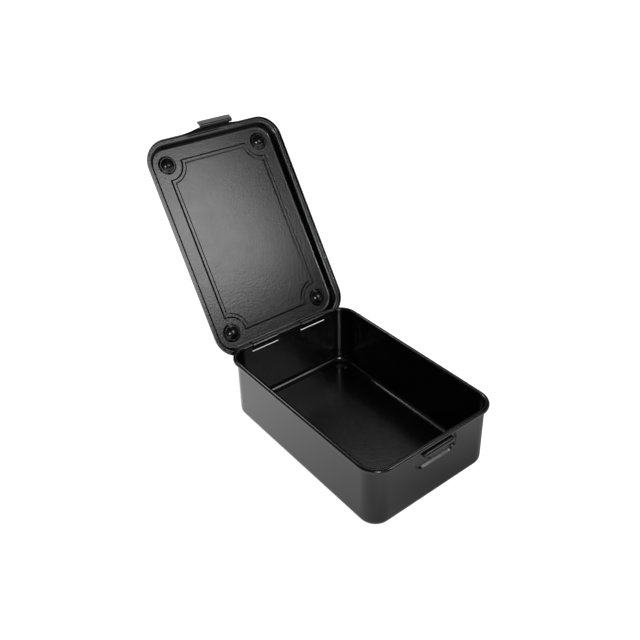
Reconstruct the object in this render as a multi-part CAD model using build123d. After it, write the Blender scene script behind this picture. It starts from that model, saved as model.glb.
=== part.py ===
"""Small pressed-steel trunk box: tray with a rolled rim, hook-hinged lid and sprung latch tongue.

Millimetres, +Z up. X is the width, Y the length, the latch faces -Y and the hinge +Y.
The origin is the middle of the footprint at floor level. The lid stands open, as at rest.
"""
from build123d import *
import math
import os

os.makedirs("parts", exist_ok=True)

# Sheet steel, used for every pressing
sheet = 0.6

# Tray
body_width = 99.5
body_length = 146.8
rim_corner_radius = 14.0
rim_height = 43.5
curl_radius = 1.6
curl_wrap = 240.0
curl_inside_flats = 6
floor_fillet = 5.0

# Pressed feet of the tray and the dimples of the lid that receive them
foot_height = 1.6
foot_flat_radius = 3.6
dimple_base_radius = 6.15
dimple_step_radius = 4.8
dimple_step_depth = 1.1
dimple_dome_radius = 4.5
dimple_dome_height = 2.0
button_x = 36.0
button_y = 59.5

# Catch on the front wall: a half-round bar across a shallow pocket, with two slits below it
bar_length = 23.8
bar_radius = 2.2
bar_stand_out = 3.6
bar_drop = 5.1
pocket_half_width = 16.6
pocket_top_drop = 2.4
pocket_bottom_drop = 16.2
pocket_depth = 1.2
pocket_side_run = 1.0
pocket_corner = 6.0
slit_centres = (-4.5, 12.6)
slit_width = 2.4
slit_height = 3.6
slit_drop = 12.2

# Lid
lid_overhang = 2.05
skirt_below_rim_centre = 0.1
seat_gap = 0.1
shoulder_width = 3.35
crown_height = 5.7
crown_slope = 1.4
skirt_bend = 1.3
shoulder_bend = 0.8
crown_bend = 1.9

# Embossed line of the lid: a rectangle with a notch round each dimple
rib_half_width = 35.85
rib_half_length = 59.4
rib_notch_radius = 11.8
rib_breadth = 3.5
rib_height = 0.7
rib_side_run = 1.0

# Hinge: two curled tabs of the lid hook through slots under the rim
hinge_axis_out = 0.35
hinge_axis_drop = 0.75
tab_centre_x = 19.85
tab_width = 19.1
tab_wrap = 215.0
slot_side_clearance = 0.9
slot_top_drop = 1.9
slot_height = 2.4
lid_open_angle = 123.3

# Latch tongue
tongue_seat_gap = 0.1
tongue_root_half = 21.5
tongue_neck_half = 10.25
tongue_lip_half = 12.4
tongue_root_edge = 0.4
tongue_flare_drop = 6.6
tongue_fold_drop = 9.3
tongue_fold_radius = 1.2
tongue_fold_approach = 28.0
tongue_lip_rise_angle = 35.0
tongue_lip_length = 3.3
bar_pass_clearance = 0.02

# Worked out from the sizes above
curl_inner = curl_radius - sheet
wall_inset = 2 * curl_radius - sheet
rim_z = foot_height + rim_height
bead_half_width = body_width / 2 - curl_radius
bead_half_length = body_length / 2 - curl_radius
bead_corner = rim_corner_radius - curl_radius
wall_half_width = body_width / 2 - wall_inset
wall_half_length = body_length / 2 - wall_inset
wall_corner = rim_corner_radius - wall_inset

lid_width = body_width + 2 * lid_overhang
lid_length = body_length + 2 * lid_overhang
lid_corner = rim_corner_radius + lid_overhang
skirt_z = rim_z - skirt_below_rim_centre
shoulder_z = rim_z + curl_radius + seat_gap + sheet
crown_z = shoulder_z + crown_height
crown_taper = math.degrees(math.atan2(crown_slope, crown_height))

hinge_y = bead_half_length + hinge_axis_out
hinge_z = rim_z - hinge_axis_drop
hinge_axis = Axis((0, hinge_y, hinge_z), (1, 0, 0))
tab_outer = body_length / 2 + lid_overhang - hinge_y
tab_inner = tab_outer - sheet
button_places = [(sx * button_x, sy * button_y) for sx in (-1, 1) for sy in (-1, 1)]


def rounded_block(half_width, half_length, corner, z_low, z_high, taper=0.0):
    """Upright block with rounded corners; a positive taper narrows it upwards."""
    outline = Plane.XY.offset(z_low) * RectangleRounded(2 * half_width, 2 * half_length, corner)
    return extrude(outline, amount=z_high - z_low, taper=taper)


def edges_at(shape, z):
    """Edges that lie wholly at one height."""
    return shape.edges().filter_by_position(Axis.Z, z - 1e-4, z + 1e-4)


def rolled_rim():
    """Edge of the tray, rolled outwards from the top of the wall and carried all round it.

    It is round outside; the inside, which nothing shows, is a few flats.
    """
    start = 180 - curl_wrap
    outside = CenterArc((0, 0), curl_radius, start, curl_wrap)
    flat_turn = curl_wrap / curl_inside_flats
    turns = [math.radians(start + i * flat_turn) for i in range(curl_inside_flats + 1)]
    inside = Polyline([(curl_inner * math.cos(a), curl_inner * math.sin(a)) for a in turns])
    ends = [Line(outside @ 1, inside @ 1), Line(inside @ 0, outside @ 0)]
    section = make_face([outside, inside, *ends])

    bead = RectangleRounded(2 * bead_half_width, 2 * bead_half_length, bead_corner)
    path = Pos(0, 0, rim_z) * bead.wire()
    along = path % 0
    outwards = Vector(along.Y, -along.X, 0)
    return sweep(Plane(path @ 0, x_dir=outwards, z_dir=-along) * section, path=path)


def arc_strip(inner, outer, start, size):
    """Curled sheet in section: a band between two radii, about the origin of the plane."""
    far = CenterArc((0, 0), outer, start, size)
    near = CenterArc((0, 0), inner, start, size)
    return make_face([far, Line(far @ 1, near @ 1), near, Line(near @ 0, far @ 0)])


def pan(inset):
    """The tray's outer surface as a solid, moved inwards by inset."""
    half_width = wall_half_width - inset
    half_length = wall_half_length - inset
    z_floor = foot_height + inset
    block = rounded_block(half_width, half_length, wall_corner - inset, z_floor, rim_z)
    return fillet(edges_at(block, z_floor), floor_fillet - inset)


def slope_step(run, rise):
    """Sideways step of a sloping sheet's other face, per unit of thickness, one thickness on."""
    return (math.hypot(run, rise) - run) / rise


def foot(inset):
    """Foot of the tray, with a side at 45 degrees; inset gives the hollow behind it."""
    flat_radius = foot_flat_radius - inset * slope_step(foot_height, foot_height)
    shape = Cone(flat_radius, flat_radius + foot_height, foot_height)
    return Pos(0, 0, foot_height / 2 + inset) * shape


def dimple(inset):
    """Dimple of the lid, hanging from its sheet; inset gives the solid side of it.

    A sloping side leads to a narrow step, from which a dome rises.
    """
    run = dimple_base_radius - dimple_step_radius
    grow = inset * slope_step(run, dimple_step_depth)
    dome_edge = (dimple_dome_radius + grow, -dimple_step_depth)
    dome_top = (0, -dimple_step_depth - dimple_dome_height)
    half_chord_squared = (dome_edge[0] ** 2 + dimple_dome_height**2) / 2
    dome = RadiusArc(dome_top, dome_edge, -half_chord_squared / dimple_dome_height)
    side = Polyline(
        dome_edge,
        (dimple_step_radius + grow, -dimple_step_depth),
        (dimple_base_radius + grow, 0),
        (0, 0),
        dome_top,
    )
    shape = revolve(Plane.XZ * make_face([dome, side]), Axis.Z)
    return Pos(0, 0, crown_z - inset) * shape


def catch_bar_block(radius, depth_from, depth_to):
    """Stadium prism across the front wall with a full round outside, between two Y depths."""
    straight = bar_length - 2 * bar_radius
    centre_z = rim_z - bar_drop
    shape = Box(straight, depth_to - depth_from, 2 * radius)
    middle = (depth_from + depth_to) / 2
    block = Pos(0, middle, centre_z) * shape
    block += Pos(0, depth_from, centre_z) * Rot(0, 90, 0) * Cylinder(radius, straight)
    for sx in (-1, 1):
        end = Pos(sx * straight / 2, 0, centre_z)
        block += end * Pos(0, middle, 0) * Rot(90, 0, 0) * Cylinder(radius, depth_to - depth_from)
        block += end * Pos(0, depth_from, 0) * Sphere(radius)
    return block


def pocket_block(inset, lead):
    """Shallow pocket of the catch, with sloping sides; inset gives the inner side of its sheet.

    The block starts ahead of the wall's face, by lead, and ends at the pocket's floor.
    """
    slope = pocket_side_run / pocket_depth
    grow = inset * slope_step(pocket_side_run, pocket_depth) + lead * slope
    width = 2 * (pocket_half_width + grow)
    height = pocket_bottom_drop - pocket_top_drop + 2 * grow
    centre_z = rim_z - (pocket_bottom_drop + pocket_top_drop) / 2
    start_y = inset - wall_half_length - lead
    plane = Plane((0, start_y, centre_z), x_dir=(-1, 0, 0), z_dir=(0, 1, 0))
    outline = plane * RectangleRounded(width, height, pocket_corner + grow)
    return extrude(outline, amount=pocket_depth + lead, taper=math.degrees(math.atan(slope)))


def make_body():
    """Tray: one pressing with feet, catch and hinge slots, and its edge curled outwards."""
    body = pan(0) - pan(sheet) + rolled_rim()

    for x, y in button_places:
        body += Pos(x, y, 0) * foot(0)
        body -= Pos(x, y, 0) * foot(sheet)

    floor_y = pocket_depth - wall_half_length
    body += pocket_block(sheet, sheet / 2)
    body -= pocket_block(0, sheet)
    bar_centre_y = -(wall_half_length + bar_stand_out - bar_radius)
    body += catch_bar_block(bar_radius, bar_centre_y, floor_y + sheet / 2)
    body -= catch_bar_block(bar_radius - sheet, bar_centre_y, floor_y + 2 * sheet)
    for x in slit_centres:
        slit = Box(slit_width, 6 * sheet, slit_height)
        body -= Pos(x, floor_y, rim_z - slit_drop) * slit

    slot = Box(tab_width + 2 * slot_side_clearance, 8 * sheet, slot_height)
    slot_z = rim_z - slot_top_drop - slot_height / 2
    for sx in (-1, 1):
        body -= Pos(sx * tab_centre_x, wall_half_length - sheet / 2, slot_z) * slot
    return body


def loop_edge(shape, z, rank):
    """A straight edge of a smooth closed loop at height z, counted inwards from the +Y end."""
    return edges_at(shape, z).filter_by(Axis.X).sort_by(Axis.Y)[-rank]


def lid_mass(inset):
    """The closed lid's outer surface as a solid, moved inwards by inset."""
    low = skirt_z - (sheet if inset else 0.0)
    brim_top = shoulder_z - inset
    crown_top = crown_z - inset
    half_width = lid_width / 2 - inset
    half_length = lid_length / 2 - inset
    brim = rounded_block(half_width, half_length, lid_corner - inset, low, brim_top)
    back = shoulder_width + inset * slope_step(crown_slope, crown_height)
    half_width = lid_width / 2 - back
    half_length = lid_length / 2 - back
    corner = lid_corner - back
    crown = rounded_block(half_width, half_length, corner, brim_top, crown_top, crown_taper)
    mass = brim + crown
    mass = fillet(loop_edge(mass, crown_top, 1), crown_bend - inset)
    mass = fillet(loop_edge(mass, brim_top, 2), shoulder_bend + inset)
    return fillet(loop_edge(mass, brim_top, 1), skirt_bend - inset)


def rib_outline(grow):
    """Notched rectangle of the embossed line, moved outwards by grow."""
    outline = Rectangle(2 * (rib_half_width + grow), 2 * (rib_half_length + grow))
    for x, y in button_places:
        outline -= Pos(x, y) * Circle(rib_notch_radius - grow)
    return outline


def rib_block(inset):
    """The embossed line as a solid with sloping sides; inset gives the side inside the lid."""
    breadth = rib_breadth - 2 * (sheet - inset) * slope_step(rib_side_run, rib_height)
    band = rib_outline(breadth / 2) - rib_outline(-breadth / 2)
    low = crown_z - inset - rib_height
    block = extrude(Pos(0, 0, low) * band, amount=rib_height + sheet / 2)
    face = block.faces().sort_by(Axis.Z)[0]
    return chamfer(face.edges(), rib_side_run, rib_height, reference=face)


def make_lid():
    """Lid, closed: skirt, shoulder, raised crown, embossed line, dimples and hinge tabs."""
    lid = lid_mass(0) - lid_mass(sheet)
    lid += rib_block(sheet)
    lid -= rib_block(0)

    for x, y in button_places:
        lid += Pos(x, y, 0) * dimple(sheet)
        lid -= Pos(x, y, 0) * dimple(0)

    curl = arc_strip(tab_inner, tab_outer, -tab_wrap, tab_wrap)
    root_height = skirt_z - hinge_z + sheet
    root = Pos((tab_inner + tab_outer) / 2, root_height / 2) * Rectangle(sheet, root_height)
    for sx in (-1, 1):
        start_x = sx * tab_centre_x - tab_width / 2
        plane = Plane((start_x, hinge_y, hinge_z), x_dir=(0, 1, 0), z_dir=(1, 0, 0))
        lid += extrude(plane * (curl + root), amount=tab_width)
    return lid


def make_tongue():
    """Latch tongue, closed: a flared strip that bows out, folds in to the bar and ends in a lip."""
    root_y = -(lid_length / 2 - sheet / 2)
    root_z = skirt_z - tongue_seat_gap - sheet / 2
    bar_y = -(wall_half_length + bar_stand_out)
    fold_centre = Vector(
        bar_y - bar_pass_clearance - sheet / 2 - tongue_fold_radius, rim_z - tongue_fold_drop
    )
    turn = tongue_fold_approach + 90 + tongue_lip_rise_angle
    fold = CenterArc(fold_centre, tongue_fold_radius, tongue_fold_approach, -turn)
    neck = TangentArc(fold @ 0, (root_y, root_z), tangent=-(fold % 0))
    lip = Line(fold @ 1, fold @ 1 + (fold % 1) * tongue_lip_length)
    side_plane = Plane((-tongue_root_half, 0, 0), x_dir=(0, 1, 0), z_dir=(1, 0, 0))
    strip = make_face(offset(Wire([neck, fold, lip]), sheet / 2))
    strip = extrude(side_plane * strip, amount=2 * tongue_root_half)

    top = skirt_z
    flare_width = tongue_root_half - tongue_neck_half
    flare_height = tongue_flare_drop - tongue_root_edge
    flare_end = top - tongue_flare_drop
    flare_centre = (tongue_root_half, flare_end)
    flare = EllipticalCenterArc(flare_centre, flare_width, flare_height, 90, arc_size=90)
    lip_top = fold_centre.Y + tongue_fold_radius / 2
    low = rim_z - 2 * tongue_fold_drop
    outline = [
        (tongue_neck_half, flare_end),
        (tongue_neck_half, lip_top),
        (tongue_lip_half, lip_top),
        (tongue_lip_half, low),
        (0, low),
        (0, top),
        (tongue_root_half, top),
        (tongue_root_half, top - tongue_root_edge),
    ]
    half = make_face([flare, Polyline(outline)])
    prism = extrude(Plane.XZ * (half + mirror(half, Plane.YZ)), amount=lid_length)
    return strip & prism


def main():
    """Build every piece, open the lid about the hinge axis and write one file per piece."""
    body = make_body()
    lid = make_lid().rotate(hinge_axis, -lid_open_angle)
    tongue = make_tongue().rotate(hinge_axis, -lid_open_angle)
    for name, shape in (("body_tray", body), ("lid", lid), ("latch_tongue", tongue)):
        export_step(shape, f"parts/{name}.step")


main()
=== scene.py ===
"""Looks for a small pressed-steel box in black baked enamel, seen as in the photograph."""

import math

import bpy
from mathutils import Matrix, Vector

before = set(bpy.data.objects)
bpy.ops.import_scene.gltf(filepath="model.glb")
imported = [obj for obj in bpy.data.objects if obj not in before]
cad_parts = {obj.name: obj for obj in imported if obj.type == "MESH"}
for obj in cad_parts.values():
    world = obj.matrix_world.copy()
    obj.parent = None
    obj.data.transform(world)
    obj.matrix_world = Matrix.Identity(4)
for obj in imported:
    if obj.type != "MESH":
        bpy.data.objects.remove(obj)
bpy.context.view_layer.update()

MM = 0.001

# The view of the photograph, found by fitting the box's outlines
VIEW_AZIMUTH = -39.18
VIEW_ELEVATION = 29.84
VIEW_ROLL = -0.36
VIEW_DISTANCE = 499.5 * MM
VIEW_OFFSET = (8.70 * MM, -100.61 * MM)
FOCAL_PIXELS = 766.99
CENTRE_PIXEL = (342.21, 277.76)
FOOT_HEIGHT = 1.6 * MM
PHOTO_PIXELS = 640
SENSOR_MM = 36.0
CLIP_START = 10 * MM

# Colours, sRGB
ENAMEL_BLACK = "#060607"
# Painted highlight: the lighter grey laid on the enamel's sharpest edges
ENAMEL_EDGE_HIGHLIGHT = "#3A3A3C"
PAPER_WHITE = "#DCDCDC"
SURROUND_WHITE = "#FFFFFF"

# Enamel. The grain of the real paint is finer than a pixel of the picture, so it's drawn coarser
GRAIN_SIZE = 1.35 * MM
GRAIN_HEIGHT = 0.046 * MM
PATCH_SIZE = 9 * MM
PATCH_NOISE = (0.3, 0.7)
PATCH_ROUGHNESS = (0.21, 0.235)
ENAMEL_IOR = 1.5
EDGE_ROUNDING = 0.4 * MM
EDGE_FACING = (0.985, 0.88)

# Floor: light added for the camera and for the gloss, each by place in metres
FLOOR_SIZE = 8.0
LIFT_DISTANCE = (0.25, 0.9)
CAMERA_LIFT = (0.84, 1.0)
LEFT_WAY = (-0.63, 0.77, 0.0)
LEFT_RANGE = (-0.065, 0.1)
LEFT_GLOSS = (0.0, 1.15)
FRONT_RANGE = (-0.12, -0.08)
FRONT_GLOSS = (0.62, 0.0)

# Surround, as the object sees it and as the camera sees it
SURROUND_LEVEL = (0.08, 1.0)

# Softboxes: place, point aimed at, width and height in metres, and watts
SOFTBOXES = {
    "key_softbox": ((0.37, -0.61, 0.68), (-0.02, 0.11, 0.11), (0.27, 0.3), 2.05),
    "front_softbox": ((-0.42, -0.69, 0.56), (0, 0.1, 0.1), (0.07, 0.07), 3.4),
    "top_softbox": ((0.66, 0.56, 1.25), (0, 0.1, 0.1), (0.5, 0.4), 1.4),
    "back_softbox": ((-0.1, 1.0, 1.1), (0, 0, 0), (0.3, 0.3), 4.2),
}


def linear(hex_colour):
    """Linear RGBA of an sRGB hex colour."""
    values = [int(hex_colour[i : i + 2], 16) / 255 for i in (1, 3, 5)]
    rgb = [v / 12.92 if v <= 0.04045 else ((v + 0.055) / 1.055) ** 2.4 for v in values]
    return (*rgb, 1.0)


def add_node(tree, kind, settings=None, inputs=None):
    """Add a shader node, set its properties, and set or link its inputs."""
    node = tree.nodes.new(kind)
    for name, value in (settings or {}).items():
        setattr(node, name, value)
    for name, value in (inputs or {}).items():
        if isinstance(value, bpy.types.NodeSocket):
            tree.links.new(value, node.inputs[name])
        else:
            node.inputs[name].default_value = value
    return node


def map_range(tree, value, start, end):
    """Value carried from one range to another, and held at its ends."""
    inputs = {"Value": value, "From Min": start[0], "From Max": start[1]}
    inputs.update({"To Min": end[0], "To Max": end[1]})
    return add_node(tree, "ShaderNodeMapRange", inputs=inputs).outputs["Result"]


def math_node(tree, operation, *values):
    """Result of a math operation on values or sockets."""
    settings = {"operation": operation}
    node = add_node(tree, "ShaderNodeMath", settings, dict(enumerate(values)))
    return node.outputs["Value"]


def dot_product(tree, one, other):
    """Dot product of two vectors or sockets."""
    settings = {"operation": "DOT_PRODUCT"}
    node = add_node(tree, "ShaderNodeVectorMath", settings, {0: one, 1: other})
    return node.outputs["Value"]


def noise(tree, vector, size, detail):
    """Noise with patches of about a given size."""
    inputs = {"Vector": vector, "Scale": 1 / size, "Detail": detail}
    return add_node(tree, "ShaderNodeTexNoise", inputs=inputs).outputs["Fac"]


def new_material(name):
    """Empty node material with its output node."""
    material = bpy.data.materials.new(name)
    material.use_nodes = True
    tree = material.node_tree
    tree.nodes.clear()
    return material, tree, add_node(tree, "ShaderNodeOutputMaterial")


def baked_enamel(name, colour, edge_highlight_colour):
    """Black baked enamel on pressed steel.

    The eye reads it as a satin, nearly black coat: a soft gloss with the fine grain of
    sprayed paint, a little duller in patches, and a painted highlight of lighter grey along its
    sharpest edges.
    """
    material, tree, output = new_material(name)
    where = add_node(tree, "ShaderNodeTexCoord").outputs["Object"]
    grain = noise(tree, where, GRAIN_SIZE, 1.0)
    bump = add_node(
        tree,
        "ShaderNodeBump",
        inputs={"Height": grain, "Strength": 1.0, "Distance": GRAIN_HEIGHT},
    )
    patches = noise(tree, where, PATCH_SIZE, 3.0)

    # Sharp edges are where the rounded normal leaves the true one
    rounded = add_node(tree, "ShaderNodeBevel", {"samples": 4}, {"Radius": EDGE_ROUNDING})
    surface = add_node(tree, "ShaderNodeNewGeometry")
    facing = dot_product(tree, rounded.outputs["Normal"], surface.outputs["Normal"])
    edge = map_range(tree, facing, EDGE_FACING, (0.0, 1.0))
    # Painted highlight: the coat turns lighter grey along the sharpest edges, in patches
    coat = add_node(
        tree,
        "ShaderNodeMix",
        {"data_type": "RGBA"},
        {
            "Factor": math_node(tree, "MULTIPLY", edge, patches),
            6: linear(colour),
            7: linear(edge_highlight_colour),
        },
    )
    shader = add_node(
        tree,
        "ShaderNodeBsdfPrincipled",
        inputs={
            "Base Color": coat.outputs[2],
            "Roughness": map_range(tree, patches, PATCH_NOISE, PATCH_ROUGHNESS),
            "IOR": ENAMEL_IOR,
            "Normal": bump.outputs["Normal"],
        },
    )
    tree.links.new(shader.outputs["BSDF"], output.inputs["Surface"])
    return material


def paint(node_name, material):
    """Give a carried-over node its material."""
    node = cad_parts[node_name]
    node.data.materials.clear()
    node.data.materials.append(material)


def photo_camera():
    """Camera that sees the box as the photograph does."""
    azimuth = math.radians(VIEW_AZIMUTH)
    elevation = math.radians(VIEW_ELEVATION)
    roll = math.radians(VIEW_ROLL)
    towards = Vector(
        (
            math.sin(azimuth) * math.cos(elevation),
            -math.cos(azimuth) * math.cos(elevation),
            math.sin(elevation),
        )
    )
    level = Vector((math.cos(azimuth), math.sin(azimuth), 0))
    upright = towards.cross(level)
    right = math.cos(roll) * level + math.sin(roll) * upright
    up = -math.sin(roll) * level + math.cos(roll) * upright
    place = towards * VIEW_DISTANCE - right * VIEW_OFFSET[0] - up * VIEW_OFFSET[1]
    place += Vector((0, 0, FOOT_HEIGHT))
    turn = Matrix((right, up, towards)).transposed()

    data = bpy.data.cameras.new("photo_camera")
    camera = bpy.data.objects.new("photo_camera", data)
    bpy.context.collection.objects.link(camera)
    camera.matrix_world = Matrix.Translation(place) @ turn.to_4x4()
    data.sensor_width = SENSOR_MM
    data.lens = FOCAL_PIXELS / PHOTO_PIXELS * SENSOR_MM
    half = PHOTO_PIXELS / 2
    data.shift_x = (half - CENTRE_PIXEL[0]) / PHOTO_PIXELS
    data.shift_y = (CENTRE_PIXEL[1] - half) / PHOTO_PIXELS
    data.clip_start = CLIP_START
    bpy.context.scene.camera = camera


def softbox(name, place, aim, size, power):
    """Rectangular studio lamp, aimed at a point."""
    data = bpy.data.lights.new(name, "AREA")
    data.shape = "RECTANGLE"
    data.size, data.size_y = size
    data.energy = power
    lamp = bpy.data.objects.new(name, data)
    bpy.context.collection.objects.link(lamp)
    lamp.location = place
    lamp.rotation_euler = (Vector(aim) - Vector(place)).to_track_quat("-Z", "Y").to_euler()


def pale_floor():
    """White paper floor.

    The camera sees it lifted to a white ground that still holds the box's shadow. The gloss
    sees it bright on the left of the box and darker close to its front, as in the photograph.
    """
    bpy.ops.mesh.primitive_plane_add(size=FLOOR_SIZE)
    floor = bpy.context.object
    floor.name = "floor"
    material, tree, output = new_material("white_paper_floor")
    where = add_node(tree, "ShaderNodeTexCoord").outputs["Object"]
    away = add_node(tree, "ShaderNodeVectorMath", {"operation": "LENGTH"}, {0: where})
    camera_level = map_range(tree, away.outputs["Value"], LIFT_DISTANCE, CAMERA_LIFT)
    leftwards = dot_product(tree, where, LEFT_WAY)
    spot = add_node(tree, "ShaderNodeSeparateXYZ", inputs={0: where})
    left_gloss = map_range(tree, leftwards, LEFT_RANGE, LEFT_GLOSS)
    front_gloss = map_range(tree, spot.outputs["Y"], FRONT_RANGE, FRONT_GLOSS)
    gloss_level = math_node(tree, "ADD", left_gloss, front_gloss)

    path = add_node(tree, "ShaderNodeLightPath").outputs
    camera_lift = math_node(tree, "MULTIPLY", path["Is Camera Ray"], camera_level)
    lift = math_node(tree, "MULTIPLY_ADD", path["Is Glossy Ray"], gloss_level, camera_lift)
    paper = add_node(tree, "ShaderNodeBsdfDiffuse", inputs={"Color": linear(PAPER_WHITE)})
    glow = add_node(tree, "ShaderNodeEmission", inputs={"Strength": lift})
    both = add_node(
        tree,
        "ShaderNodeAddShader",
        inputs={0: paper.outputs["BSDF"], 1: glow.outputs["Emission"]},
    )
    tree.links.new(both.outputs["Shader"], output.inputs["Surface"])
    floor.data.materials.append(material)


def studio_world():
    """Dim, even surround that looks white to the camera."""
    world = bpy.data.worlds.new("studio")
    bpy.context.scene.world = world
    world.use_nodes = True
    tree = world.node_tree
    tree.nodes.clear()
    output = add_node(tree, "ShaderNodeOutputWorld")
    path = add_node(tree, "ShaderNodeLightPath").outputs
    level = map_range(tree, path["Is Camera Ray"], (0.0, 1.0), SURROUND_LEVEL)
    surround = add_node(
        tree,
        "ShaderNodeBackground",
        inputs={"Color": linear(SURROUND_WHITE), "Strength": level},
    )
    tree.links.new(surround.outputs["Background"], output.inputs["Surface"])


enamel = baked_enamel("black_baked_enamel", ENAMEL_BLACK, ENAMEL_EDGE_HIGHLIGHT)
for part in ("body_tray", "lid", "latch_tongue"):
    paint(part, enamel)

photo_camera()
pale_floor()
studio_world()
for name, (place, aim, size, power) in SOFTBOXES.items():
    softbox(name, place, aim, size, power)

scene = bpy.context.scene
scene.view_settings.view_transform = "Standard"
